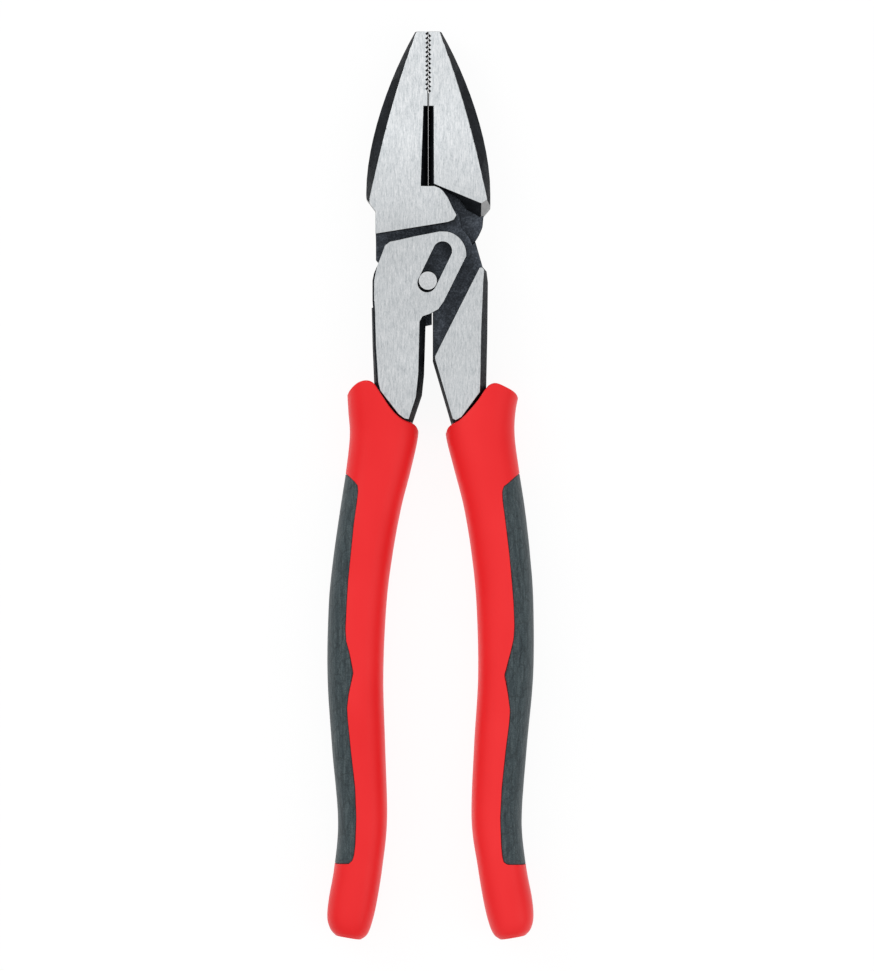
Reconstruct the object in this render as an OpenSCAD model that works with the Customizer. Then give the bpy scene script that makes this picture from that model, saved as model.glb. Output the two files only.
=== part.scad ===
// Compound-action lineman pliers, 241 mm (9 1/2 in), jaws closed.
// The tool lies on its back: X across the handles, Y along the tool towards
// the jaw tips, Z out of the front face. Sizes in millimetres.
// Three levers move on each other. The fixed jaw lever carries the right
// handle, the moving jaw turns on the main rivet, and the left handle lever
// turns on the moving jaw's tail while its slot rides on the slide pin.

/* [Head] */
// Thickness of the ground jaws and levers
head_thickness = 15.6; // [12:0.1:18]
// Height of the straight part of an edge above the middle plane
edge_flat = 3; // [1:0.5:5]
// How much each face falls off towards the jaw tips
nose_taper = 1.2; // [0:0.1:2]
// Gap between layers that slide over each other
layer_gap = 0.3; // [0.1:0.05:0.4]
// Height of the recessed web above the middle plane
web_height = 3.8; // [3:0.1:4.5]

/* [Jaw teeth] */
// Number of V grooves across each gripping face
tooth_count = 13; // [6:1:16]
// Distance from one groove to the next
tooth_pitch = 1.22; // [0.8:0.01:1.6]
// Depth of a groove
tooth_depth = 0.65; // [0.3:0.05:0.9]
// Gap between the closed jaws
jaw_gap = 0.06; // [0.02:0.02:0.4]

/* [Pivots] */
// Radius of the main rivet
rivet_radius = 3.2; // [2.5:0.1:4]
// Radius of the link pin between the moving jaw and the left lever
link_radius = 2.2; // [1.8:0.1:2.8]
// Radius of the slide pin's head
slide_head_radius = 2.4; // [2:0.05:2.45]
// Radial clearance of the running fits
running_fit = 0.05; // [0.02:0.01:0.1]

/* [Slot] */
// Direction of the slot, counter-clockwise from X
slot_angle = 64; // [60:1:68]
// Distance between the centres of the slot's round ends
slot_length = 9.4; // [8.4:0.1:9.6]
// Radius of the slot's round ends
slot_radius = 2.5; // [2.45:0.01:2.55]

/* [Grips] */
// Thickness of the moulded grips
grip_thickness = 18.6; // [17:0.1:20]
// Thickness of the soft pads
pad_thickness = 2; // [1.5:0.1:3]
// Width of the steel tang inside a grip
tang_width = 7; // [5:0.5:8]
// Thickness of the steel tang inside a grip
tang_thickness = 8; // [6:0.5:10]

/* [Smoothness] */
// Sides of a full circle
circle_sides = 64; // [32:4:96]

/* [Hidden] */
$fn = circle_sides;

half = head_thickness / 2;
gap = layer_gap / 2;
axis_x = -0.6;              // line on which the closed jaws meet
tip_y = 120.6;              // jaw tips
taper_y = 82;               // faces start to fall off here
rivet_at = [-0.56, 74];
link_at = [-9.5, 42];
slide_at = [-0.7, 54.46];
slot_low = [-0.93, 53.9];   // centre of the slot's lower round end
web_hole_at = slide_at + [-0.04, 0.55];
rivet_head_radius = 4.3;
link_head_radius = 3.1;
head_depth = 1.5;           // thickness of the sunk rivet heads
boss_radius = 15.25;        // moving jaw's boss round the main rivet
tail_radius = 5;            // moving jaw's tail end round the link pin
slide_shank_radius = 1.55;
slide_foot_radius = 2.8;
seat_play = 0.7;            // the slide pin's hidden seat is wider by this
pocket_fit = 0.1;           // the shell's recess is larger than a pad by this

steel_dark = [0.2, 0.2, 0.21];
steel_bright = [0.78, 0.79, 0.8];
grip_red = [0.93, 0.16, 0.18];
pad_grey = [0.25, 0.3, 0.32];

function flip(p) = [for (q = p) [2 * axis_x - q[0], q[1]]];
function turned(p) = [for (i = [len(p) - 1 : -1 : 0]) p[i]];
function at_height(p, z) = [for (q = p) [q[0], q[1], z]];
function arc_points(c, r, a0, a1, n) =
    [for (i = [0 : n]) c + r * [cos(a0 + (a1 - a0) * i / n), sin(a0 + (a1 - a0) * i / n)]];
function curve(p, n) =
    [for (i = [0 : n]) let (t = i / n, s = 1 - t)
        s * s * s * p[0] + 3 * s * s * t * p[1] + 3 * s * t * t * p[2] + t * t * t * p[3]];
function blend4(a, b, c, d, t) =
    0.5 * (2 * b + (c - a) * t + (2 * a - 5 * b + 4 * c - d) * t * t
           + (3 * b - a - 3 * c + d) * t * t * t);

// Outer edge of the right jaw, tip to shoulder, at mid thickness and on the face
jaw_edge = [for (q = curve([[3.5, 120.6], [10.1, 109.2], [16.5, 91.8], [16.5, 77.8]], 12))
            q + [axis_x, 0]];
jaw_face_edge = [for (q = curve([[2.9, 120.6], [7.7, 105.8], [12.4, 91.2], [15.6, 76.2]], 12))
                 q + [axis_x, 0]];
// Convex outlines that bevel the outer edge of the right jaw
jaw_bevel = concat([[-40, 125], [0.5, 125]], jaw_edge, [[15.9, 20], [-40, 20]]);
jaw_bevel_face = concat([[-40, 125], [0.4, 125]], jaw_face_edge, [[15.1, 20], [-40, 20]]);

// Foot of the moving jaw's lower wall on its boss; all that lies below is cut away
wall_foot = [[20, 73.4], [15.5, 72.9], [14.3, 72], [13.2, 71.6], [11.8, 72.5], [9.7, 73.5],
    [8.9, 75], [7.9, 76.1], [6.3, 77.4], [4.6, 78.3], [2.2, 79.5], [0.7, 80], [-0.6, 80.2],
    [-30, 80.2], [-30, 20], [20, 20]];

// Left jaw with the cheek over the rivet
fixed_jaw = concat([[axis_x - jaw_gap / 2, tip_y], [axis_x - jaw_gap / 2, 79.75], [0.6, 79.75],
    [2.4, 79.05], [3.3, 78.3], [4.6, 76.5], [5.95, 73.65], [6.9, 71.9], [6.15, 70.6], [4.6, 70],
    [-14.6, 66.9], [-14.6, 72.85], [-17, 76.1]], [for (q = turned(flip(jaw_edge))) q - [0.1, 0]]);

// Recessed web of the fixed jaw lever, under the slotted plate
web = [[-14.5, 60], [-14.5, 70], [4.6, 75.8], [7, 72.9], [7.9, 71.6], [7.9, 70.6], [8.2, 68.6],
       [9.7, 66.9], [10.6, 65.5], [11.06, 64.2], [11.1, 63.4], [11.2, 60], [1.6, 44],
       [1.6, 48], [-0.7, 49.2], [-5, 50.2], [-8.5, 53.2]];

// Right handle at mid thickness and on the ground faces
neck = [[0.6, 68], [11.6, 66], [13.85, 58.2], [14.9, 57], [15.25, 54.1], [15.1, 40], [14.8, 26],
        [9, 15.4], [6.6, 14.2], [5.5, 16.4], [0.6, 33.1]];
neck_face = [[1.2, 68], [10.9, 66], [13.3, 58.4], [14.24, 57.4], [14, 54.1], [13.4, 40],
             [13.1, 24.9], [8.2, 18.3], [6.66, 17.5], [5.86, 17.9], [1.2, 33.7]];
// Part of the right handle that is lowered to the web's height on the front
lowered = [[-2, 20], [-2, 70], [18, 70], [18, 58.6], [14.1, 58.1], [13, 57.9], [1.23, 34.4],
           [0.4, 33.2]];

// Back of the moving jaw: jaw, boss and tail down to the link pin
tail_side = [[-13.6, 55], [-12.26, 64.2], [-11.8, 65.5], [-10.9, 66.9], [-9.4, 68.6],
             [-9.1, 70.6], [-8.1, 71.9], [-7.15, 73.65], [-5.8, 76.5], [-4.5, 78.3],
             [-3.6, 79.05], [-1.8, 79.75], [axis_x + jaw_gap / 2, 79.75]];
jaw_and_tail = concat([[axis_x + jaw_gap / 2, tip_y]], [for (q = jaw_edge) q + [0.1, 0]],
    [[16.4, 74.3], [14.1, 71.7]], turned(arc_points(rivet_at, boss_radius, -87.5, -19, 16)),
    [[0.35, 57.8], [0.35, 43], [-1.6, 42.6]],
    turned(arc_points(link_at, tail_radius, -190, -22, 16)), tail_side);

// Handle of the left lever at mid thickness and on the ground faces
bar = [[-15.7, 50], [-1.33, 50], [-1.33, 42.4], [-1.72, 29.6], [-2.28, 24.1], [-4.64, 17.1],
       [-5.6, 14.4], [-7.6, 15.4], [-14.6, 23.2], [-15, 27.5], [-15.4, 37]];
bar_face = [[-15.25, 50], [-2.85, 50], [-2.9, 44], [-3.25, 29.6], [-3.9, 23.6], [-5.8, 17.7],
            [-6.9, 17.9], [-8.5, 19.1], [-13.95, 26.1], [-14.3, 27.5], [-14.9, 37]];
bar_top = [[-20, 60], [-20, 47], [-15, 47.4], [-12.5, 48.2], [-9.5, 48.6], [-6, 47.8],
           [-3.4, 46.2], [-1.2, 43.9], [4, 41], [4, 60]];
// Slotted plate of the left lever, over the web
plate = concat([[-13, 44], [-15.2, 46.3], [-15.4, 49], [-15.4, 54.5], [-15, 56.4], [-14, 58.7],
    [-12.05, 63.8], [-10.8, 64.8], [-8.6, 65.25], [-4.2, 66.25], [-0.66, 66.95], [2.4, 67.55]],
    arc_points([3.3, 61.4], 6.2, 80, -4, 10), [[3.55, 49], [2.05, 46.85], [-0.3, 45.6],
    [-2.1, 45], [-3, 43.5], [-5, 41]]);

// Space behind the left lever for the tail as it swings
tail_space = [[-20, 39.4], [-14.3, 39.4], [-9.5, 42], [-4.6, 39.6], [20, 39], [20, 72], [-20, 72]];

// Grips, top to bottom: [Y, X of the middle, half width, half thickness as a
// share of half the grip thickness]
left_rows = [[34, -12.7, 9.9, 1], [27, -12.7, 9.6, 1], [20, -12.6, 9.3, 1], [13.3, -12.4, 9.1, 1],
    [4, -13.9, 8.6, 1], [-5.8, -15.9, 8.1, 1], [-18, -17.9, 7.85, 0.99], [-31.3, -19.4, 7.7, 0.98],
    [-50.4, -20, 7.45, 0.97], [-69.5, -19.15, 7.1, 0.96], [-88.6, -18.1, 6.55, 0.94],
    [-101.3, -19.2, 6.4, 0.92], [-111, -20.7, 6.35, 0.9], [-116.6, -21.6, 5.9, 0.86],
    [-119.4, -21.8, 4.9, 0.74], [-120.6, -21.9, 3.4, 0.56]];
right_rows = [[34, 14, 10.5, 1], [27, 13.8, 10.25, 1], [20, 13.3, 9.35, 1], [13.3, 13.25, 9.15, 1],
    [4, 15, 8.6, 1], [-5.8, 17, 8.1, 1], [-18, 18.7, 7.8, 0.99], [-31.3, 19.8, 7.6, 0.98],
    [-50.4, 20, 7.35, 0.97], [-69.5, 18.6, 7.05, 0.96], [-88.6, 17.6, 6.7, 0.94],
    [-101.3, 19, 6.45, 0.92], [-111, 20.6, 6.4, 0.9], [-116.6, 21.5, 5.9, 0.86],
    [-119.4, 21.8, 4.9, 0.74], [-120.6, 21.9, 3.4, 0.56]];
rows_per_span = 2;
grip_sides = 28;
grip_squareness = 2.6;      // 2 is an ellipse, more is squarer

// Top edges of the grips, scooped out round the steel
left_scoop = [[-30, 40], [-30, 23.2], [-22.3, 24], [-21.7, 25.6], [-19.6, 27.6], [-17, 28.2],
    [-15, 27.4], [-14.1, 25.9], [-9.9, 19.6], [-7, 17.4], [-4.4, 16.75], [-3.45, 15.8], [-3, 14.2],
    [-1, 13.4], [-1, 40]];
right_scoop = [[1, 40], [1, 13.2], [4, 14], [4.3, 15.4], [5, 16.2], [6.3, 16.9], [8.3, 17.9],
    [12.8, 22.9], [14.6, 25.9], [15.7, 27], [17.5, 27.5], [20.2, 26.3], [22.3, 25.2], [23.2, 24.3],
    [23.6, 23], [30, 22.6], [30, 40]];

// Edges of the pads, from the outer side over the top end, down and out again
left_pad_edge = [[-27, 6.5], [-21.6, 2.6], [-20, 1.05], [-19.3, 0.2], [-19.15, -1.2], [-19.45, -4],
    [-20.3, -10], [-21.1, -18], [-21.8, -25], [-22.2, -31.3], [-22.5, -38], [-22.3, -41.2],
    [-21.5, -44], [-20.4, -49.5], [-21.7, -55.4], [-22.1, -59], [-21.9, -62], [-21.1, -70],
    [-19.95, -80], [-19.65, -88], [-19.9, -95], [-20.25, -98], [-20.75, -99.4], [-21.7, -100.3],
    [-30, -100.6]];
right_pad_edge = [[27, 6], [22, 2.1], [20.6, 0.8], [19.5, 0], [18.95, -1.3], [19.1, -4],
    [19.9, -10], [20.85, -18], [21.5, -25], [22, -31.3], [22.2, -37], [22, -40.5], [21.2, -44],
    [19.5, -50.2], [20.5, -55.2], [21.05, -59.5], [20.8, -63], [19.9, -70], [18.85, -80],
    [18.45, -88], [18.7, -95], [18.95, -98.2], [19.35, -99.7], [20.3, -100.5], [30, -100.8]];

// Solid through a stack of outlines with equal numbers of points
module loft(rings) {
    n = len(rings[0]);
    m = len(rings);
    polyhedron(
        points = [for (r = rings) each r],
        faces = concat(
            [[for (i = [n - 1 : -1 : 0]) i]],
            [for (k = [0 : m - 2], i = [0 : n - 1])
                [k * n + i, (k + 1) * n + (i + 1) % n, (k + 1) * n + i]],
            [for (k = [0 : m - 2], i = [0 : n - 1])
                [k * n + i, k * n + (i + 1) % n, (k + 1) * n + (i + 1) % n]],
            [[for (i = [0 : n - 1]) (m - 1) * n + i]]));
}

module slab(outline, z0, z1) {
    translate([0, 0, z0]) linear_extrude(z1 - z0) polygon(outline);
}

module pin_hole(at, r, z0, z1) {
    translate([at[0], at[1], z0]) cylinder(r = r, h = z1 - z0);
}

// Half turn about the line on which the jaws meet
module other_side() {
    translate([2 * axis_x, 0, 0]) rotate([0, 180, 0]) children();
}

// Convex body with the same outline on both faces and a straight band at mid thickness
module bevelled(outline, face_outline) {
    loft([at_height(face_outline, -half), at_height(outline, -edge_flat),
          at_height(outline, edge_flat), at_height(face_outline, half)]);
}

// Right jaw's bevels, as a body to intersect with
module jaw_envelope() {
    loft([at_height(jaw_bevel_face, -half - 0.01), at_height(jaw_bevel, -edge_flat),
          at_height(jaw_bevel, edge_flat), at_height(jaw_bevel_face, half + 0.01)]);
}

// Sloping cut below the line through a point on the front face
module slope_cut(at, angle, run) {
    translate([at[0], at[1], 0]) rotate(angle) translate([-30, 0, 0]) rotate([90, 0, 90])
        linear_extrude(60) polygon([[run * 0.06, half * 1.06], [-run, -gap], [-50, -gap],
                                    [-50, half * 1.06]]);
}

// Space in front of the moving jaw's boss and tail, up to the jaw's sloping wall
module boss_space() {
    slab(wall_foot, -gap, half + 1);
    slope_cut([8.57, 77], -22.5, 3.4);
    slope_cut([13.6, 75], 33, 3);
}

// What the gripping teeth take away; side is 1 on the right jaw, -1 on the left
module tooth_grooves(side, first_y) {
    face = axis_x + side * jaw_gap / 2;
    translate([0, 0, -half - 1]) linear_extrude(head_thickness + 2)
        for (i = [0 : tooth_count - 1])
            translate([face, first_y - i * tooth_pitch])
                polygon([[-side * 0.05, tooth_pitch * 0.48], [0, tooth_pitch * 0.46],
                         [side * tooth_depth, 0], [0, -tooth_pitch * 0.46],
                         [-side * 0.05, -tooth_pitch * 0.48]]);
}

// V recess over the cutting edges on the front
module cutter_recess() {
    hull() {
        translate([axis_x, 100.8, 0]) rotate([90, 0, 0]) linear_extrude(0.02)
            polygon([[0, 0.25], [1.6, half + 0.2], [-1.4, half + 0.2]]);
        translate([axis_x, 79.6, 0]) rotate([90, 0, 0]) linear_extrude(0.02)
            polygon([[0, 0.25], [1.53, half + 0.2], [-2.02, half + 0.2]]);
    }
}

// What makes the front face fall off towards the tips
module nose_cut() {
    slope = nose_taper / (tip_y - taper_y);
    translate([-30, 0, 0]) rotate([90, 0, 90]) linear_extrude(60)
        polygon([[taper_y - 4, half + 4 * slope], [tip_y + 2, half - nose_taper - 2 * slope],
                 [tip_y + 2, half + 3], [taper_y - 4, half + 3]]);
}

module head_cuts() {
    cutter_recess();
    other_side() cutter_recess();
    nose_cut();
    other_side() nose_cut();
}

// Steel strip inside a grip, following its middle line
module tang(rows) {
    line = [for (r = rows) if (r[0] < 22 && r[0] > -108) [r[1], r[0]]];
    slab(concat([for (p = line) p + [tang_width / 2, 0]],
                turned([for (p = line) p - [tang_width / 2, 0]])),
         -tang_thickness / 2, tang_thickness / 2);
}

module fixed_jaw_lever() {
    color(steel_dark) difference() {
        union() {
            difference() {
                intersection() {
                    slab(fixed_jaw, -half, half);
                    other_side() jaw_envelope();
                }
                other_side() boss_space();
            }
            slab(web, gap, web_height);
            difference() {
                bevelled(neck, neck_face);
                slab(lowered, web_height, half + 1);
                pin_hole(rivet_at, boss_radius + 0.12, -half - 1, half + 1);
            }
            tang(right_rows);
        }
        tooth_grooves(-1, 120);
        head_cuts();
        pin_hole(rivet_at, rivet_radius, -half, half + 1);
        pin_hole(rivet_at, rivet_head_radius, half - head_depth, half + 1);
        pin_hole(web_hole_at, slide_shank_radius + seat_play, 0, half);
        pin_hole(web_hole_at, slide_foot_radius + seat_play, 0, 1.5);
    }
}

module moving_jaw() {
    color(steel_dark) difference() {
        intersection() {
            slab(jaw_and_tail, -half, half);
            jaw_envelope();
        }
        boss_space();
        tooth_grooves(1, 119.4);
        head_cuts();
        pin_hole(rivet_at, rivet_radius + running_fit, -half - 1, half);
        pin_hole(rivet_at, rivet_head_radius + running_fit, -half - 1, -half + head_depth + 0.1);
        pin_hole(link_at, link_radius + running_fit, -half - 1, 0);
        pin_hole(link_at, link_head_radius + running_fit, -half - 1, -half + head_depth + 0.1);
    }
}

module slot_cut() {
    translate([slot_low[0], slot_low[1], 0]) rotate(slot_angle)
        translate([0, 0, web_height]) linear_extrude(half) union() {
            circle(slot_radius);
            translate([slot_length, 0]) circle(slot_radius);
            translate([0, -slot_radius]) square([slot_length, 2 * slot_radius]);
        }
}

module handle_lever() {
    color(steel_dark) difference() {
        union() {
            difference() {
                bevelled(bar, bar_face);
                slab(bar_top, -half - 1, half + 1);
                slab(tail_space, -half - 1, gap);
                pin_hole(link_at, tail_radius + 0.45, -half - 1, gap);
            }
            slab(plate, web_height + layer_gap, half);
            tang(left_rows);
        }
        slot_cut();
        pin_hole(link_at, link_radius, -half, 5.6);
    }
}

// Main rivet, fast in the fixed jaw lever, heads ground flush on both faces
module main_rivet() {
    color(steel_bright) union() {
        pin_hole(rivet_at, rivet_radius, -half, half);
        pin_hole(rivet_at, rivet_head_radius, half - head_depth, half);
        pin_hole(rivet_at, rivet_head_radius, -half, -half + head_depth);
    }
}

// Link pin, fast in the left lever, its head sunk in the back of the tail
module link_pin() {
    color(steel_bright) union() {
        pin_hole(link_at, link_radius, -half, 5.6);
        pin_hole(link_at, link_head_radius, -half, -half + head_depth);
    }
}

// Slide pin: head in the slot, shank through the web, foot behind it
module slide_pin() {
    color(steel_bright) union() {
        pin_hole(slide_at, slide_head_radius, web_height + 0.2, half);
        pin_hole(slide_at, slide_shank_radius, 0.4, half - 1);
        pin_hole(slide_at, slide_foot_radius, 0.4, 1.2);
    }
}

function grip_ring(row, inset) =
    let (a = row[2] - inset, b = row[3] * grip_thickness / 2 - inset, e = 2 / grip_squareness)
    [for (i = [0 : grip_sides - 1]) let (w = -360 * i / grip_sides, c = cos(w), s = sin(w))
        [row[1] + a * sign(c) * pow(abs(c), e), row[0], b * sign(s) * pow(abs(s), e)]];

// Outside of a grip, or a body inset all round from it
module grip_body(rows, inset) {
    last = len(rows) - 1;
    smooth = [for (i = [0 : last - 1], k = [0 : rows_per_span - 1])
        blend4(rows[max(i - 1, 0)], rows[i], rows[i + 1], rows[min(i + 2, last)],
               k / rows_per_span)];
    loft([for (row = concat(smooth, [rows[last]])) grip_ring(row, inset)]);
}

// Where a pad lies: a thin layer on the outer side of the grip
module pad_zone(edge, grow) {
    side = sign(edge[0][0]);
    last = len(edge) - 1;
    slab(concat([side * [60, 0] + [0, edge[0][1] + grow]],
                [for (i = [0 : last])
                    edge[i] + [-side * grow, i < 2 ? grow : i > last - 2 ? -grow : 0]],
                [side * [60, 0] + [0, edge[last][1] - grow]]),
         -grip_thickness, grip_thickness);
}

module pad(rows, edge) {
    color(pad_grey) difference() {
        intersection() {
            grip_body(rows, 0);
            pad_zone(edge, 0);
        }
        grip_body(rows, pad_thickness);
    }
}

module shell(rows, edge, scoop, steel) {
    color(grip_red) difference() {
        grip_body(rows, 0);
        slab(scoop, -grip_thickness, grip_thickness);
        difference() {
            pad_zone(edge, pocket_fit);
            grip_body(rows, pad_thickness + pocket_fit);
        }
        slab(steel, -half - 0.05, half + 0.05);
        tang_hole(rows);
    }
}

// Hole for the tang, a little larger all round
module tang_hole(rows) {
    line = [for (r = rows) if (r[0] < 28 && r[0] > -108) [r[1], r[0]]];
    slab(concat([for (p = line) p + [tang_width / 2 + 0.05, -0.1]],
                turned([for (p = line) p - [tang_width / 2 + 0.05, 0.1]])),
         -tang_thickness / 2 - 0.05, tang_thickness / 2 + 0.05);
}

// Pockets in the grips for the ends of the handles
left_pocket = [[-15.3, 38], [-15.25, 30], [-15.1, 27.5], [-14.7, 23.1], [-7.65, 15.3],
               [-5.55, 14.3], [-4.55, 17.1], [-2.2, 24.1], [-1.6, 38]];
right_pocket = [[0.5, 38], [0.5, 33.1], [5.4, 16.4], [6.5, 14.1], [9.05, 15.3], [14.9, 26],
                [15.2, 38]];

module right_grip_shell() {
    shell(right_rows, right_pad_edge, right_scoop, right_pocket);
}

module right_grip_pad() {
    pad(right_rows, right_pad_edge);
}

module left_grip_shell() {
    shell(left_rows, left_pad_edge, left_scoop, left_pocket);
}

module left_grip_pad() {
    pad(left_rows, left_pad_edge);
}

// The tool rests on its grips with its outline centred on the origin
translate([0, 0, grip_thickness / 2]) {
    fixed_jaw_lever();
    moving_jaw();
    handle_lever();
    main_rivet();
    link_pin();
    slide_pin();
    right_grip_shell();
    right_grip_pad();
    left_grip_shell();
    left_grip_pad();
}
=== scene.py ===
"""Looks of the compound-action lineman pliers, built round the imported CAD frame.

Lengths in the tables are millimetres in the frame's own axes: X across the
handles, Y along the tool to the jaw tips, Z from the middle plane to the front.
"""
import bisect
import math

import bmesh
import bpy
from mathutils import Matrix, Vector, noise


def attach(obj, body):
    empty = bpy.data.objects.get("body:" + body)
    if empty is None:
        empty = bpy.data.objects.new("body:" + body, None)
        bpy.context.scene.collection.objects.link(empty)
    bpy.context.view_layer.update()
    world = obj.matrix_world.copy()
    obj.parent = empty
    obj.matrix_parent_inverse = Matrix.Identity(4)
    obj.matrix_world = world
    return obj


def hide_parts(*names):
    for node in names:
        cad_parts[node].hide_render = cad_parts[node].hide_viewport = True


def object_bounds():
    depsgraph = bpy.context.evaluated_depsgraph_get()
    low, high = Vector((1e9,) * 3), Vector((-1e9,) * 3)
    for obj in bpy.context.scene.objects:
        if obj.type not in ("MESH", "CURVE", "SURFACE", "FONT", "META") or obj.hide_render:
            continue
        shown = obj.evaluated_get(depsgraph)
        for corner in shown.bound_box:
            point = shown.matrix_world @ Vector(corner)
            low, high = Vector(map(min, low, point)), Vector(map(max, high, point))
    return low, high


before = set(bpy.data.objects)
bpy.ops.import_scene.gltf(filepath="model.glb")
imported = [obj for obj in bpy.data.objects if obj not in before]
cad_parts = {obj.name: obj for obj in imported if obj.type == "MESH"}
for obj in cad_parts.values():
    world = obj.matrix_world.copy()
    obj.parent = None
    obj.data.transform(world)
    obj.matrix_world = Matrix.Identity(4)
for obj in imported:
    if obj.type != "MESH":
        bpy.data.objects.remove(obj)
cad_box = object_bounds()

MM = 0.001
MID_Z = 9.3                 # height of the middle plane above the floor


# ---------------------------------------------------------------- helpers

def place(x, y, z):
    """Point in the frame, from millimetres about the middle plane."""
    return Vector((x * MM, y * MM, (z + MID_Z) * MM))


def lerp(a, b, t):
    return a + (b - a) * t


def smooth_step(a, b, x):
    t = min(1.0, max(0.0, (x - a) / (b - a)))
    return t * t * (3 - 2 * t)


def new_piece(name, bm, materials, body, node):
    """Turns a bmesh, kept inside the CAD box, into the piece that stands for a CAD node."""
    for v in bm.verts:
        v.co = [min(max(c, low), high) for c, low, high in zip(v.co, *cad_box)]
    mesh = bpy.data.meshes.new(name)
    bmesh.ops.recalc_face_normals(bm, faces=bm.faces)
    bm.to_mesh(mesh)
    bm.free()
    for mat in materials:
        mesh.materials.append(mat)
    obj = bpy.data.objects.new(name, mesh)
    bpy.context.scene.collection.objects.link(obj)
    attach(obj, body)
    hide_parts(node)
    return obj


# -------------------------------------------------------------- materials

class Shader:
    """A principled material and short calls for the nodes that feed it."""

    def __init__(self, name, roughness=0.5, metallic=0.0, **constants):
        self.mat = bpy.data.materials.new(name)
        self.mat.use_nodes = True
        self.nodes = self.mat.node_tree.nodes
        self.links = self.mat.node_tree.links
        self.bsdf = self.nodes["Principled BSDF"]
        self.bsdf.inputs["Roughness"].default_value = roughness
        self.bsdf.inputs["Metallic"].default_value = metallic
        for socket, value in constants.items():
            self.bsdf.inputs[socket.replace("_", " ")].default_value = value
        self.coords = self.nodes.new("ShaderNodeTexCoord").outputs["Object"]

    def mapped(self, per_mm, turn=0.0):
        """Object coordinates in millimetres, times a scale for each axis."""
        node = self.nodes.new("ShaderNodeMapping")
        node.inputs["Scale"].default_value = [s / MM for s in per_mm]
        node.inputs["Rotation"].default_value = (0, 0, turn)
        self.links.new(self.coords, node.inputs["Vector"])
        return node.outputs["Vector"]

    def along(self, axis, length):
        """Distance along an axis, as a part of a length in millimetres."""
        node = self.nodes.new("ShaderNodeSeparateXYZ")
        self.links.new(self.mapped([1 / length] * 3), node.inputs["Vector"])
        return node.outputs[axis]

    def noise(self, per_mm, detail=3.0, rough=0.55, distortion=0.0, turn=0.0):
        node = self.nodes.new("ShaderNodeTexNoise")
        node.inputs["Scale"].default_value = 1.0
        node.inputs["Detail"].default_value = detail
        node.inputs["Roughness"].default_value = rough
        node.inputs["Distortion"].default_value = distortion
        self.links.new(self.mapped(per_mm, turn), node.inputs["Vector"])
        return node.outputs["Fac"]

    def cells(self, per_mm, warp):
        """Distance to the nearest edge between cells, with the cells shifted by warp."""
        add = self.nodes.new("ShaderNodeVectorMath")
        add.operation = "ADD"
        self.links.new(self.mapped(per_mm), add.inputs[0])
        self.links.new(warp, add.inputs[1])
        node = self.nodes.new("ShaderNodeTexVoronoi")
        node.feature = "DISTANCE_TO_EDGE"
        node.inputs["Scale"].default_value = 1.0
        self.links.new(add.outputs["Vector"], node.inputs["Vector"])
        return node.outputs["Distance"]

    def ramp(self, value, stops):
        """Colour ramp; stops are (position, grey or colour)."""
        node = self.nodes.new("ShaderNodeValToRGB")
        elements = node.color_ramp.elements
        while len(elements) < len(stops):
            elements.new(0.5)
        for element, (position, colour) in zip(elements, stops):
            if not isinstance(colour, tuple):
                colour = (colour, colour, colour)
            element.position = position
            element.color = (*colour, 1.0)
        self.links.new(value, node.inputs["Fac"])
        return node.outputs["Color"]

    def math(self, operation, a, b):
        """Sum or product; b may be a plain number."""
        node = self.nodes.new("ShaderNodeMath")
        node.operation = operation
        self.links.new(a, node.inputs[0])
        if isinstance(b, float):
            node.inputs[1].default_value = b
        else:
            self.links.new(b, node.inputs[1])
        return node.outputs["Value"]

    def tint(self, colour, shade, amount):
        """Multiplies a colour by a shade, by a share of its strength."""
        node = self.nodes.new("ShaderNodeMix")
        node.data_type = "RGBA"
        node.blend_type = "MULTIPLY"
        node.inputs["Factor"].default_value = amount
        self.links.new(colour, node.inputs[6])
        self.links.new(shade, node.inputs[7])
        return node.outputs[2]

    def bump(self, height, distance_mm, strength, under=None):
        """Bump from a height; under is the normal of a bump it lies on."""
        node = self.nodes.new("ShaderNodeBump")
        node.inputs["Strength"].default_value = strength
        node.inputs["Distance"].default_value = distance_mm * MM
        self.links.new(height, node.inputs["Height"])
        if under is not None:
            self.links.new(under, node.inputs["Normal"])
        return node.outputs["Normal"]

    def feed(self, **sockets):
        """Links outputs to the shader's sockets and gives back the material."""
        for socket, output in sockets.items():
            self.links.new(output, self.bsdf.inputs[socket.replace("_", " ")])
        return self.mat


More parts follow.
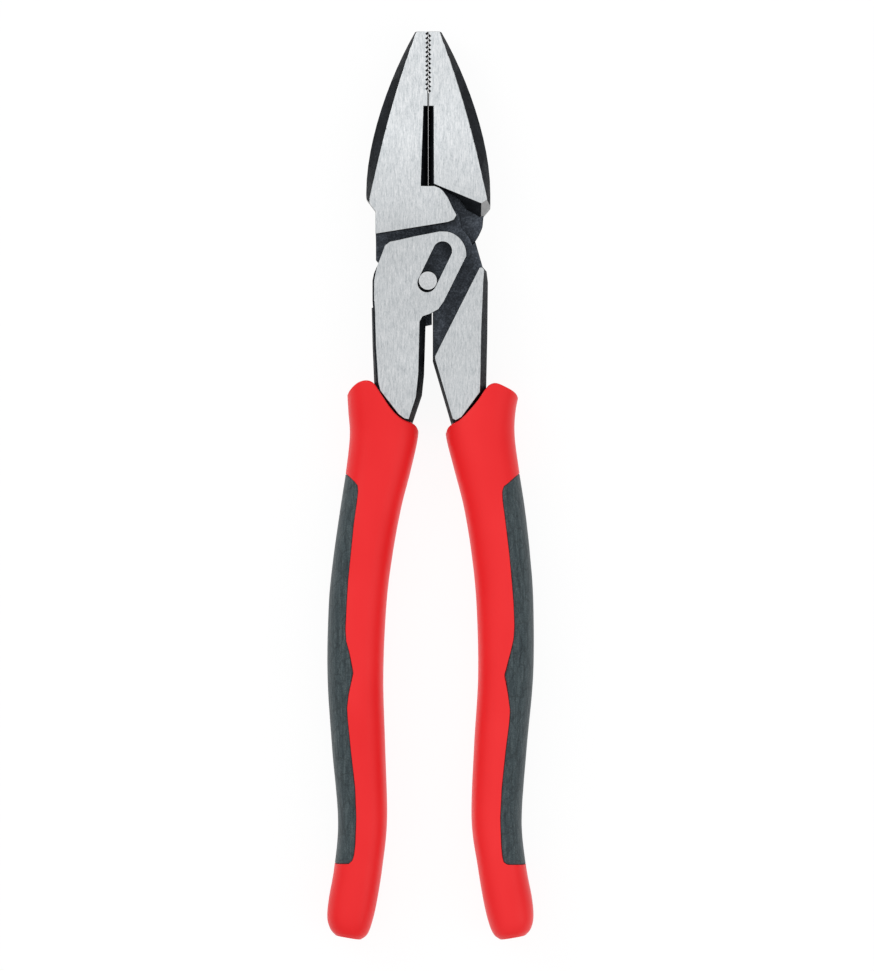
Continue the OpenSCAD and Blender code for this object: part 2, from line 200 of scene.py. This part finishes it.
def ground_steel(name, streak, bright=1.0, contrast=1.0):
    """Surface-ground tool steel; streak gives the scale across and along the scratches."""
    s = Shader(name, metallic=1.0)
    across, along = streak
    coarse = s.noise((across, along, across), detail=6, rough=0.66, distortion=0.2)
    fine = s.noise((across * 3.0, along * 3.6, across), detail=3, rough=0.62, turn=0.06)
    pit = s.noise((3.4, 2.2, 3.4), detail=2, rough=0.7)
    patch = s.noise((0.07, 0.05, 0.07), detail=2)
    lines = s.math("ADD", s.math("MULTIPLY", coarse, 0.5), s.math("MULTIPLY", fine, 0.32))
    tone = s.math("ADD", lines, s.math("MULTIPLY", pit, 0.18))
    stops = [(0.34, (0.56, 0.58, 0.592)), (0.46, (0.70, 0.722, 0.732)),
             (0.55, (0.785, 0.80, 0.806)), (0.68, (0.90, 0.905, 0.905))]
    middle = 0.75
    colour = s.ramp(tone, [(p, tuple((middle + (c - middle) * contrast) * bright for c in rgb))
                           for p, rgb in stops])
    colour = s.tint(colour, s.ramp(patch, [(0.3, 0.88), (0.7, 1.0)]), 0.8)
    # Brighter towards the jaw tips: a painted highlight; positions are parts of the length
    painted_highlight_length = 130
    painted_tip_highlight = [(0.53, 0.70), (0.6, 0.78), (0.72, 0.91)]
    colour = s.tint(colour, s.ramp(s.along("Y", painted_highlight_length), painted_tip_highlight), 1.0)
    rough = s.ramp(tone, [(0.34, 0.48), (0.66, 0.32)])
    normal = s.bump(tone, 0.014, 0.8)
    return s.feed(Base_Color=colour, Roughness=rough, Normal=normal)


def black_oxide(name, bright=1.0, grain_per_mm=3.0):
    """Forged steel with a blackened, slightly grainy skin."""
    s = Shader(name, Specular_IOR_Level=0.05)
    mottle = s.noise((0.35, 0.35, 0.35), detail=4, rough=0.6)
    grain = s.noise([grain_per_mm] * 3, detail=3, rough=0.7)
    scale = s.noise((1.1, 1.1, 1.1), detail=2)
    tone = s.math("ADD", s.math("MULTIPLY", mottle, 0.42), s.math("MULTIPLY", grain, 0.58))
    stops = [(0.36, (0.006, 0.007, 0.008)), (0.5, (0.012, 0.014, 0.017)),
             (0.64, (0.028, 0.032, 0.038))]
    colour = s.ramp(tone, [(p, tuple(c * bright for c in rgb)) for p, rgb in stops])
    rough = s.ramp(scale, [(0.3, 0.5), (0.7, 0.68)])
    normal = s.bump(scale, 0.05, 0.4, under=s.bump(grain, 0.03, 0.8))
    return s.feed(Base_Color=colour, Roughness=rough, Normal=normal)


def moulded_red(name):
    """Smooth vinyl of the grip shells."""
    s = Shader(name, Specular_IOR_Level=0.17)
    cloud = s.noise((0.045, 0.03, 0.045), detail=2)
    grain = s.noise((2.4, 2.4, 2.4), detail=2, rough=0.5)
    flow = s.noise((0.5, 0.06, 0.5), detail=3)
    colour = s.ramp(cloud, [(0.3, (0.86, 0.017, 0.020)), (0.7, (0.93, 0.028, 0.031))])
    rough = s.ramp(s.math("ADD", s.math("MULTIPLY", flow, 0.6), s.math("MULTIPLY", grain, 0.4)),
                   [(0.35, 0.36), (0.65, 0.46)])
    normal = s.bump(flow, 0.05, 0.12, under=s.bump(grain, 0.012, 0.5))
    return s.feed(Base_Color=colour, Roughness=rough, Normal=normal)


def soft_rubber(name):
    """Slate grey pad with a leathery moulded grain."""
    s = Shader(name, Specular_IOR_Level=0.3, Sheen_Weight=0.12, Sheen_Roughness=0.5)
    warp = s.noise((0.25, 0.2, 0.25), detail=2)
    crease = s.cells((0.42, 0.20, 0.42), warp)
    lines = s.noise((1.5, 0.16, 1.5), detail=4, rough=0.6, distortion=0.4, turn=0.12)
    speck = s.noise((3.0, 3.0, 3.0), detail=2)
    cut = s.ramp(crease, [(0.0, 0.0), (0.09, 1.0)])
    tone = s.math("ADD", s.math("MULTIPLY", lines, 0.55), s.math("MULTIPLY", speck, 0.45))
    colour = s.ramp(tone, [(0.34, (0.023, 0.035, 0.041)), (0.5, (0.043, 0.062, 0.068)),
                           (0.66, (0.088, 0.115, 0.121))])
    # Colour darkened by a share of 0.3 along the creases: painted shade in the creases.
    colour = s.tint(colour, cut, 0.3)
    rough = s.ramp(tone, [(0.3, 0.78), (0.7, 0.62)])
    creased = s.bump(cut, 0.06, 0.5, under=s.bump(speck, 0.03, 0.5))
    normal = s.bump(lines, 0.09, 0.55, under=creased)
    return s.feed(Base_Color=colour, Roughness=rough, Normal=normal)


GROUND = ground_steel("ground_steel", (2.4, 0.34), contrast=1.5)
GROUND_PIN = ground_steel("ground_pin", (2.0, 1.6), bright=1.05)
SATIN = ground_steel("satin_shoulder", (1.2, 1.0), bright=0.54, contrast=0.6)
OXIDE = black_oxide("black_oxide")
# Lighter copy of the black oxide for the up-facing web: painted light on the tops, while the walls
# keep the dark black.
PAINTED_LIT_WEB = black_oxide("black_web_painted_lit", bright=4.6, grain_per_mm=2.0)
RED = moulded_red("moulded_red")
RUBBER = soft_rubber("soft_rubber")


# ------------------------------------------------------------------ steel

RIVET_AT = (-0.56, 74.0)
RIVET_HEAD = 4.3            # radius of the main rivet's head
SEAM_X = -0.6               # line on which the closed jaws meet
BARE_SEAM = (100.5, 105.6)  # Y of the seam between the cutting edges and the teeth
TEETH_FROM = 103.5
TEETH_REACH = 0.8           # how far the teeth go either side of the seam
RIM_X = -13.2               # the left lever's outer edge is further out than this
RIM_Y = (20, 58)
RIM_Z = 7.7
SHOULDER_Y = (71, 77.4)     # the jaws' slanted shoulders
SHOULDER_REACH = 13.6
GROUND_Z = 6.3              # ground faces are further than this from the middle plane
GROUND_FACE, BLACK_FACE, SHOULDER_FACE, PAINTED_LIT_WEB_FACE = range(4)


def at(v):
    """A vertex's place in millimetres, Z from the middle plane."""
    return v.co.x / MM, v.co.y / MM, v.co.z / MM - MID_Z


def near_rivet(edge):
    """True for the edges of the main rivet's hole, which stay sharp."""
    return all(abs(math.hypot(at(v)[0] - RIVET_AT[0], at(v)[1] - RIVET_AT[1]) - RIVET_HEAD) < 0.2
               for v in edge.verts)


def on_left_rim(edge):
    """True for the left lever's outer edges on its two ground faces."""
    return all(at(v)[0] < RIM_X and abs(at(v)[2]) > RIM_Z and RIM_Y[0] < at(v)[1] < RIM_Y[1]
               for v in edge.verts)


def on_seam(edge):
    """True for the ground faces' edges along the closed jaws, clear of the teeth."""
    return all(abs(at(v)[0] - SEAM_X) < 0.12 and abs(at(v)[2]) > 5
               and BARE_SEAM[0] < at(v)[1] < BARE_SEAM[1] for v in edge.verts)


def on_teeth(edge):
    """True for the ground faces' zigzag edges along the teeth."""
    return all(abs(at(v)[0] - SEAM_X) < TEETH_REACH and abs(at(v)[2]) > 5
               and at(v)[1] > TEETH_FROM for v in edge.verts) and not on_seam(edge)


def is_long(edge):
    """True for edges long enough to break, clear of the gripping faces."""
    clear = any(abs(at(v)[0] - SEAM_X) > 0.9 or at(v)[1] < 100 for v in edge.verts)
    return clear and edge.calc_length() > 0.35 * MM


def steel_finish(face):
    """The finish of a face, by where it lies and how flat it lies; flat faces that face up take a
    lighter black, which is painted light.
    """
    c = face.calc_center_median()
    x, y, z = c.x / MM, c.y / MM, c.z / MM - MID_Z
    up = abs(face.normal.z)
    # Bevels along the closed jaws and the teeth are black: black oxide, and also painted shade for
    # the gap between the jaws and the teeth's grooves.
    if y > 80 and abs(x - SEAM_X) < 0.95 and up < 0.97:
        return BLACK_FACE
    if (SHOULDER_Y[0] < y < SHOULDER_Y[1] and abs(x - SEAM_X) > SHOULDER_REACH
            and face.normal.y < -0.35 and up < 0.9):
        return SHOULDER_FACE
    if x < RIM_X and RIM_Y[0] < y < RIM_Y[1] and up < 0.97:
        return BLACK_FACE
    if up > 0.6 and abs(z) > GROUND_Z:
        return GROUND_FACE
    # Flat up-facing faces below the ground faces take the lighter black: painted light on the tops.
    return PAINTED_LIT_WEB_FACE if up > 0.95 else BLACK_FACE


# Edges to break: which, how wide in mm, in how many steps, and from what angle
LEVER_EDGES = ((on_left_rim, 0.45, 1, 50), (on_seam, 0.2, 1, 50), (on_teeth, 0.1, 1, 50),
               (is_long, 0.09, 2, 28))
PIN_EDGES = ((is_long, 0.2, 3, 60),)


def eased_steel(node, body, name, edges, ground):
    """A copy of a CAD steel part with its edges broken and its faces ground or black."""
    bm = bmesh.new()
    bm.from_mesh(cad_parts[node].data)
    bmesh.ops.remove_doubles(bm, verts=bm.verts, dist=0.002 * MM)
    bmesh.ops.dissolve_limit(bm, angle_limit=math.radians(0.4), verts=bm.verts, edges=bm.edges)
    bm.normal_update()
    for wanted, offset, steps, least in edges:
        sharp = [e for e in bm.edges if len(e.link_faces) == 2
                 and e.calc_face_angle(0) > math.radians(least)
                 and not near_rivet(e) and wanted(e)]
        if sharp:
            bmesh.ops.bevel(bm, geom=sharp, offset=offset * MM, segments=steps, profile=0.5,
                            affect="EDGES", clamp_overlap=False)
        bm.normal_update()
    for f in bm.faces:
        f.material_index = steel_finish(f)
        f.smooth = True
    piece = new_piece(name, bm, (ground, OXIDE, SATIN, PAINTED_LIT_WEB), body, node)
    piece.data.set_sharp_from_angle(angle=math.radians(50))
    weighted = piece.modifiers.new("weighted", "WEIGHTED_NORMAL")
    weighted.keep_sharp = True
    weighted.weight = 90


eased_steel("fixed_jaw_lever", "jaw_lever", "fixed_jaw_lever_steel",
            LEVER_EDGES, GROUND)
eased_steel("moving_jaw", "short_jaw", "moving_jaw_steel", LEVER_EDGES, GROUND)
eased_steel("handle_lever", "left_lever", "handle_lever_steel",
            LEVER_EDGES, GROUND)
eased_steel("slide_pin", "slider", "slide_pin_steel", PIN_EDGES, GROUND_PIN)
eased_steel("link_pin", "left_lever", "link_pin_steel", PIN_EDGES, GROUND_PIN)
for material_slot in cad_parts["main_rivet"].material_slots:
    material_slot.material = GROUND


# ------------------------------------------------------------------ grips

SQUARENESS = 2.6            # power of the grips' cross-section; 2 is an ellipse
END_SLANT = 0.17            # rise of the grip's lower end for each mm across it
PAD_DEPTH = 1.1
PAD_COLUMNS = 40            # faces across a pad's recess
SHELL_COLUMNS = 60          # faces round the rest of a shell
BELOW_ROWS, BESIDE_ROWS, ABOVE_ROWS = 34, 118, 30
LIP = 0.55                  # rounding of the grip's top edge
LIP_STEPS = 5
TANG_Z = 7.95               # half thickness of the steel that enters a shell
SOCKET_DEPTH = 2.5

# Grips from top to bottom: Y, X of the middle, half width, share of full half thickness
LEFT_ROWS = [
    (34, -12.7, 9.9, 1), (27, -12.7, 9.6, 1), (20, -12.6, 9.3, 1), (13.3, -12.4, 9.1, 1),
    (4, -13.9, 8.6, 1), (-5.8, -15.9, 8.1, 1), (-18, -17.9, 7.85, 0.99), (-31.3, -19.4, 7.7, 0.98),
    (-50.4, -20, 7.45, 0.97), (-69.5, -19.15, 7.1, 0.96), (-88.6, -18.1, 6.55, 0.94),
    (-101.3, -19.2, 6.4, 0.92), (-111, -20.7, 6.35, 0.9), (-116.6, -21.6, 5.9, 0.86),
    (-119.4, -21.8, 4.9, 0.74), (-120.6, -21.9, 3.4, 0.56)]
RIGHT_ROWS = [
    (34, 14, 10.5, 1), (27, 13.8, 10.25, 1), (20, 13.3, 9.35, 1), (13.3, 13.25, 9.15, 1),
    (4, 15, 8.6, 1), (-5.8, 17, 8.1, 1), (-18, 18.7, 7.8, 0.99), (-31.3, 19.8, 7.6, 0.98),
    (-50.4, 20, 7.35, 0.97), (-69.5, 18.6, 7.05, 0.96), (-88.6, 17.6, 6.7, 0.94),
    (-101.3, 19, 6.45, 0.92), (-111, 20.6, 6.4, 0.9), (-116.6, 21.5, 5.9, 0.86),
    (-119.4, 21.8, 4.9, 0.74), (-120.6, 21.9, 3.4, 0.56)]
# Edge of each grip's scooped top
LEFT_SCOOP = [
    (-30, 23.2), (-22.3, 24), (-21.7, 25.6), (-19.6, 27.6), (-17, 28.2), (-15, 27.4),
    (-14.1, 25.9), (-9.9, 19.6), (-7, 17.4), (-4.4, 16.75), (-3.45, 15.8), (-3, 14.2), (-1, 13.4)]
RIGHT_SCOOP = [
    (1, 13.2), (4, 14), (4.3, 15.4), (5, 16.2), (6.3, 16.9), (8.3, 17.9), (12.8, 22.9),
    (14.6, 25.9), (15.7, 27), (17.5, 27.5), (20.2, 26.3), (22.3, 25.2), (23.2, 24.3), (23.6, 23),
    (30, 22.6)]
# Where the steel enters, across the grip
LEFT_STEEL = (-15.35, -5.0)
RIGHT_STEEL = (6.0, 15.25)
# Pads: the edge along the grip as (Y, X), and the ends as (X, Y)
LEFT_EDGE = [
    (0.2, -19.3), (-1.2, -19.15), (-4, -19.45), (-10, -20.3), (-18, -21.1), (-25, -21.8),
    (-31.3, -22.2), (-38, -22.5), (-41.2, -22.3), (-44, -21.5), (-49.5, -20.4), (-55.4, -21.7),
    (-59, -22.1), (-62, -21.9), (-70, -21.1), (-80, -19.95), (-88, -19.65), (-95, -19.9),
    (-98, -20.25), (-99.4, -20.75)]
LEFT_ENDS = ([(-27, 6.5), (-21.6, 2.6), (-20, 1.05), (-19.3, 0.2)],
             [(-30, -100.6), (-21.7, -100.3), (-20.75, -99.4)])
RIGHT_EDGE = [
    (0, 19.5), (-1.3, 18.95), (-4, 19.1), (-10, 19.9), (-18, 20.85), (-25, 21.5),
    (-31.3, 22), (-37, 22.2), (-40.5, 22), (-44, 21.2), (-50.2, 19.5), (-55.2, 20.5),
    (-59.5, 21.05), (-63, 20.8), (-70, 19.9), (-80, 18.85), (-88, 18.45), (-95, 18.7),
    (-98.2, 18.95), (-99.7, 19.35)]
RIGHT_ENDS = ([(19.5, 0), (20.6, 0.8), (22, 2.1), (27, 6)],
              [(19.35, -99.7), (20.3, -100.5), (30, -100.8)])


def polyline(points, x):
    """Height of a line through points at x; the points may run either way."""
    points = sorted(points)
    keys = [p[0] for p in points]
    i = min(max(bisect.bisect_right(keys, x), 1), len(points) - 1)
    (x0, y0), (x1, y1) = points[i - 1], points[i]
    return lerp(y0, y1, min(1.0, max(0.0, (x - x0) / (x1 - x0))))


def rounded(points, passes=2):
    """The same line with its corners cut, ends kept."""
    for _ in range(passes):
        cut = [points[0]]
        for (x0, y0), (x1, y1) in zip(points, points[1:]):
            cut += [(lerp(x0, x1, t), lerp(y0, y1, t)) for t in (0.25, 0.75)]
        points = cut + [points[-1]]
    return points


def catmull(a, b, c, d, t):
    """Smooth curve from b to c, with a and d as the neighbours."""
    return 0.5 * (2 * b + (c - a) * t + (2 * a - 5 * b + 4 * c - d) * t * t
                  + (3 * b - a - 3 * c + d) * t ** 3)


class Grip:
    """One grip's outer surface, by angle round it and Y along it.

    The angle is 0 on the side away from the other handle, and positive in front.
    """

    def __init__(self, side, rows, scoop, steel, edge, ends):
        self.side, self.scoop, self.steel = side, rounded(scoop), steel
        self.edge, self.ends = edge, ends
        last = len(rows) - 1
        dense = []
        for i in range(last):
            near = [rows[max(i - 1, 0)], rows[i], rows[i + 1], rows[min(i + 2, last)]]
            for k in range(12):
                dense.append(tuple(catmull(*[r[c] for r in near], k / 12) for c in range(4)))
        dense.append(rows[last])
        self.dense = sorted(dense)
        self.keys = [r[0] for r in self.dense]
        self.low, self.high = self.keys[0], self.keys[-1]

    def row(self, y):
        """Middle X, half width and half thickness at Y."""
        y = min(self.high, max(self.low, y))
        i = min(max(bisect.bisect_right(self.keys, y), 1), len(self.keys) - 1)
        a, b = self.dense[i - 1], self.dense[i]
        t = (y - a[0]) / (b[0] - a[0])
        return lerp(a[1], b[1], t), lerp(a[2], b[2], t), lerp(a[3], b[3], t) * MID_Z

    def flat(self, angle, y):
        """X and Z of the surface, before the slanted end."""
        mid, width, thick = self.row(y)
        c, s = math.cos(angle), math.sin(angle)
        power = 2 / SQUARENESS
        return (mid + self.side * width * math.copysign(abs(c) ** power, c),
                thick * math.copysign(abs(s) ** power, s))

    def point(self, angle, y):
        """Point on the surface, with the lower end slanted."""
        x, z = self.flat(angle, y)
        mid, width, _ = self.row(y)
        lift = END_SLANT * (self.side * (x - mid) + width) * smooth_step(-98, -119, y)
        return Vector((x, y + lift, z))

    def frame_at(self, angle, y):
        """Point, outward normal and direction up the grip."""
        step = 0.02
        p = self.point(angle, y)
        up = (self.point(angle, y + 0.2) - self.point(angle, y - 0.2)).normalized()
        round_ = self.point(angle + step, y) - self.point(angle - step, y)
        out = round_.cross(up).normalized()
        mid = self.row(y)[0]
        if out.dot(Vector((p.x - mid, 0, p.z))) < 0:
            out.negate()
        return p, out, up

    def edge_angle(self, y):
        """Angle of the pad's edge at Y."""
        mid, width, _ = self.row(y)
        top, bottom = self.edge[0][0], self.edge[-1][0]
        share = self.side * (polyline(self.edge, min(top, max(bottom, y))) - mid) / width
        held = self.side * (polyline(self.edge, top) - self.row(top)[0]) / self.row(top)[1]
        share = lerp(share, held, smooth_step(top - 1, top + 4, y))
        share = min(0.95, max(-0.95, share))
        return math.acos(math.copysign(abs(share) ** (SQUARENESS / 2), share))

    def solve(self, angle_of_y, ends):
        """Y at which a line up the grip meets a line across it."""
        y = ends[0][1]
        for _ in range(24):
            y = lerp(y, polyline(ends, self.flat(angle_of_y(y), y)[0]), 0.6)
        return y


def columns_of(grip):
    """Every line up the grip: a function from Y to angle, and whether it is on the pad."""
    lines = []
    for j in range(PAD_COLUMNS + 1):
        t = 1 - 2 * j / PAD_COLUMNS
        lines.append((lambda y, t=t: grip.edge_angle(y) * t, True))
    for k in range(1, SHELL_COLUMNS):
        t = k / SHELL_COLUMNS
        lines.append((lambda y, t=t: lerp(-grip.edge_angle(y), grip.edge_angle(y) - 2 * math.pi, t),
                      False))
    return lines


def closer_at_start(n):
    """n + 1 numbers from 0 to 1, closer together towards 0."""
    return [1 - math.cos(math.pi * (i / n) / 2) for i in range(n + 1)]


def closer_at_end(n):
    """n + 1 numbers from 0 to 1, closer together towards 1."""
    return [math.sin(math.pi * (i / n) / 2) for i in range(n + 1)]


def bridge(bm, low, high, closed=True):
    """Quads between two rings of the same length."""
    n = len(low)
    for i in range(n if closed else n - 1):
        j = (i + 1) % n
        ring = [low[i], low[j], high[j], high[i]]
        if len(set(ring)) == 4:
            bm.faces.new(ring)


def shell_piece(grip, name, body, node):
    """Red shell: a closed skin with a rounded scooped mouth and a recess for the pad."""
    lines = columns_of(grip)
    count = len(lines)
    edge_top, edge_bottom = grip.edge[0][0], grip.edge[-1][0]
    tops, bottoms, mouths = [], [], []
    for angle_of, on_pad in lines:
        tops.append(grip.solve(angle_of, grip.ends[0]) if on_pad else edge_top)
        bottoms.append(grip.solve(angle_of, grip.ends[1]) if on_pad else edge_bottom)
        mouths.append(grip.solve(angle_of, grip.scoop))
    bm = bmesh.new()

    def ring(levels):
        return [bm.verts.new(place(*grip.point(angle_of(y), y)))
                for (angle_of, _), y in zip(lines, levels)]

    # Below the pad, from the flat end up
    rows = [ring([lerp(grip.low, b, t) for b in bottoms]) for t in closer_at_start(BELOW_ROWS)]
    pole = sum((v.co for v in rows[0]), Vector()) / count
    pole_vert = bm.verts.new(pole)
    inner = [bm.verts.new(lerp(pole, v.co, 0.55)) for v in rows[0]]
    for i in range(count):
        bm.faces.new([pole_vert, inner[(i + 1) % count], inner[i]])
    bridge(bm, inner, rows[0])
    for a, b in zip(rows, rows[1:]):
        bridge(bm, a, b)

    # Beside the pad, with the recess pushed in
    beside = [k / BESIDE_ROWS for k in range(BESIDE_ROWS + 1)]
    pad_rows = [rows[-1]]
    for s in beside[1:]:
        pad_rows.append(ring([lerp(b, t, s) for b, t in zip(bottoms, tops)]))
    pad_last = PAD_COLUMNS
    for a, b in zip(pad_rows, pad_rows[1:]):
        bridge(bm, a[pad_last:] + [a[0]], b[pad_last:] + [b[0]], closed=False)

    # Above the pad, up to the mouth's rounded lip
    above = [pad_rows[-1]]
    for s in closer_at_end(ABOVE_ROWS)[1:]:
        above.append(ring([lerp(t, m - LIP, s) for t, m in zip(tops, mouths)]))
    for a, b in zip(above, above[1:]):
        bridge(bm, a, b)

    # Recess: a wall and a floor under the pad
    floor_grid = []
    for s in beside:
        line = []
        for j in range(pad_last + 1):
            y = lerp(bottoms[j], tops[j], s)
            p, out, _ = grip.frame_at(lines[j][0](y), y)
            line.append(bm.verts.new(place(*(p - out * (PAD_DEPTH + 0.05)))))
        floor_grid.append(line)
    for a, b in zip(floor_grid, floor_grid[1:]):
        bridge(bm, a, b, closed=False)
    outer_loop = (pad_rows[0][:pad_last + 1] + [r[pad_last] for r in pad_rows[1:-1]]
                  + pad_rows[-1][:pad_last + 1][::-1] + [r[0] for r in pad_rows[1:-1]][::-1])
    floor_loop = (floor_grid[0] + [r[pad_last] for r in floor_grid[1:-1]]
                  + floor_grid[-1][::-1] + [r[0] for r in floor_grid[1:-1]][::-1])
    bridge(bm, outer_loop, floor_loop)

    # Mouth: rounded lip, then the flat rim down to the steel
    last = above[-1]
    for k in range(1, LIP_STEPS + 1):
        turn = math.pi / 2 * k / LIP_STEPS
        new = []
        for (angle_of, _), m in zip(lines, mouths):
            y = m - LIP
            p, out, up = grip.frame_at(angle_of(y), y)
            q = p + out * LIP * (math.cos(turn) - 1) + up * LIP * math.sin(turn)
            new.append(bm.verts.new(place(*q)))
        bridge(bm, last, new)
        last = new
    lip_places = [at(v) for v in last]
    for share in (0.5, 1.0):
        new = []
        for x, y, z in lip_places:
            inner_x = min(grip.steel[1], max(grip.steel[0], x))
            inner_z = max(-TANG_Z, min(TANG_Z, z * 0.93))
            rim_y = polyline(grip.scoop, inner_x)
            new.append(bm.verts.new(place(lerp(x, inner_x, share), lerp(y, rim_y, share),
                                          lerp(z, inner_z, share))))
        bridge(bm, last, new)
        last = new
    # Socket behind the rim, closed inside the steel
    middle = sum((v.co for v in last), Vector()) / count
    sink = Vector((0, SOCKET_DEPTH * MM, 0))
    deep = [bm.verts.new(lerp(v.co, middle, 0.35) - sink) for v in last]
    bridge(bm, last, deep)
    centre = bm.verts.new(middle - sink)
    for i in range(count):
        bm.faces.new([deep[i], deep[(i + 1) % count], centre])

    bmesh.ops.remove_doubles(bm, verts=bm.verts, dist=0.0005 * MM)
    for f in bm.faces:
        f.smooth = True
    piece = new_piece(name, bm, [RED], body, node)
    piece.data.set_sharp_from_angle(angle=math.radians(48))


# Eased edge of a pad: distance in from the edge, and depth under the grip's surface
PAD_PROFILE = ((0.10, PAD_DEPTH), (0.10, 0.42), (0.14, 0.25), (0.25, 0.10), (0.42, 0.02),
               (0.7, 0.0))
PAD_LENGTH = 100.0
PAD_WIDTH = 26.0            # round the grip
GRAIN_DEPTH = 0.07


def pad_steps(size, count):
    """Pairs of share across a pad of a given size and depth, eased at both edges."""
    edge = [(inset / size, depth) for inset, depth in PAD_PROFILE]
    first = edge[-1][0]
    flat = [(lerp(first, 1 - first, k / count), 0.0) for k in range(1, count)]
    return edge + flat + [(1 - share, depth) for share, depth in reversed(edge)]


def pad_piece(grip, name, body, node):
    """Grey pad: a closed strip lying in the shell's recess, with eased edges."""
    bm = bmesh.new()
    spans = {}

    def surface(across, along, depth):
        """Vertex at a share across and along the pad; the top face has a fine grain."""
        def angle_of(y):
            return grip.edge_angle(y) * (1 - 2 * across)
        if across not in spans:
            spans[across] = (grip.solve(angle_of, grip.ends[1]), grip.solve(angle_of, grip.ends[0]))
        y = lerp(*spans[across], along)
        p, out, _ = grip.frame_at(angle_of(y), y)
        if depth < 0.01:
            q = Vector((p.x * 0.55, p.y * 0.16, p.z * 0.55))
            grain = noise.noise(q) * 0.6 + noise.noise(q * 2.7 + Vector((7, 3, 1))) * 0.4
            depth += GRAIN_DEPTH * (0.5 + 0.5 * grain)
        return bm.verts.new(place(*(p - out * depth)))

    across_steps, along_steps = pad_steps(PAD_WIDTH, 46), pad_steps(PAD_LENGTH, 150)
    top = [[surface(across, along, max(d_along, d_across)) for across, d_across in across_steps]
           for along, d_along in along_steps]
    for a, b in zip(top, top[1:]):
        bridge(bm, a, b, closed=False)
    # Underside, one flat layer at the recess's floor
    under = [[surface(across, along, PAD_DEPTH) for across, _ in across_steps[1:-1]]
             for along, _ in along_steps[1:-1]]
    full = [top[0]] + [[a[0]] + u + [a[-1]] for a, u in zip(top[1:-1], under)] + [top[-1]]
    for a, b in zip(full, full[1:]):
        bridge(bm, b, a, closed=False)
    for f in bm.faces:
        f.smooth = True
    piece = new_piece(name, bm, [RUBBER], body, node)
    piece.data.set_sharp_from_angle(angle=math.radians(60))


LEFT = Grip(-1, LEFT_ROWS, LEFT_SCOOP, LEFT_STEEL, LEFT_EDGE, LEFT_ENDS)
RIGHT = Grip(1, RIGHT_ROWS, RIGHT_SCOOP, RIGHT_STEEL, RIGHT_EDGE, RIGHT_ENDS)
shell_piece(LEFT, "left_shell_skin", "left_lever", "left_grip_shell")
shell_piece(RIGHT, "right_shell_skin", "jaw_lever", "right_grip_shell")
pad_piece(LEFT, "left_pad_skin", "left_lever", "left_grip_pad")
pad_piece(RIGHT, "right_pad_skin", "jaw_lever", "right_grip_pad")


# ------------------------------------------------- floor, light and camera

def make_floor():
    """Pale floor just under the tool, bright enough to stay nearly white."""
    bm = bmesh.new()
    bmesh.ops.create_grid(bm, x_segments=8, y_segments=8, size=3.0)
    mesh = bpy.data.meshes.new("floor")
    bm.to_mesh(mesh)
    bm.free()
    floor = bpy.data.objects.new("floor", mesh)
    bpy.context.scene.collection.objects.link(floor)
    floor.location.z = -0.0004
    s = Shader("pale_floor", roughness=0.9, Specular_IOR_Level=0.1)
    s.bsdf.inputs["Base Color"].default_value = (0.09, 0.09, 0.09, 1)
    s.bsdf.inputs["Emission Color"].default_value = (1, 1, 1, 1)
    s.bsdf.inputs["Emission Strength"].default_value = 0.92
    mesh.materials.append(s.mat)


def make_world():
    """Soft white tent: bright overhead, dimmer towards the horizon."""
    world = bpy.data.worlds.new("studio")
    bpy.context.scene.world = world
    world.use_nodes = True
    nodes, links = world.node_tree.nodes, world.node_tree.links
    coords = nodes.new("ShaderNodeTexCoord")
    split = nodes.new("ShaderNodeSeparateXYZ")
    ramp = nodes.new("ShaderNodeValToRGB")
    elements = ramp.color_ramp.elements
    stops = [(0.0, 0.12), (0.4, 0.46), (0.86, 0.92), (1.0, 1.3)]
    while len(elements) < len(stops):
        elements.new(0.5)
    for element, (position, grey) in zip(elements, stops):
        element.position = position
        element.color = (grey, grey, grey * 1.01, 1)
    links.new(coords.outputs["Generated"], split.inputs["Vector"])
    links.new(split.outputs["Z"], ramp.inputs["Fac"])
    links.new(ramp.outputs["Color"], nodes["Background"].inputs["Color"])


def make_light(name, location, size, power):
    """Square-edged soft light that faces the tool."""
    data = bpy.data.lights.new(name, "AREA")
    data.shape = "RECTANGLE"
    data.size, data.size_y = size
    data.energy = power
    light = bpy.data.objects.new(name, data)
    light.location = location
    light.rotation_mode = "QUATERNION"
    light.rotation_quaternion = (Vector((0, 0, 0)) - Vector(location)).to_track_quat("-Z", "Y")
    light.visible_camera = False
    bpy.context.scene.collection.objects.link(light)


def make_camera():
    """Straight down on the front, with 257.5 mm of it in the long side of the frame."""
    height = 2.2
    frame_long = 0.2575
    data = bpy.data.cameras.new("camera")
    data.sensor_width = 36
    data.lens = 36 * height / frame_long
    data.clip_start, data.clip_end = 0.1, 20
    camera = bpy.data.objects.new("camera", data)
    camera.location = (0.00172, 0.00013, height + 0.0171)
    bpy.context.scene.collection.objects.link(camera)
    bpy.context.scene.camera = camera


make_floor()
make_world()
make_light("key", (-0.75, 0.55, 0.8), (0.6, 0.6), 3.0)
make_light("fill", (0.8, -0.3, 0.7), (0.5, 0.8), 1.6)
make_camera()
bpy.context.scene.view_settings.view_transform = "Standard"
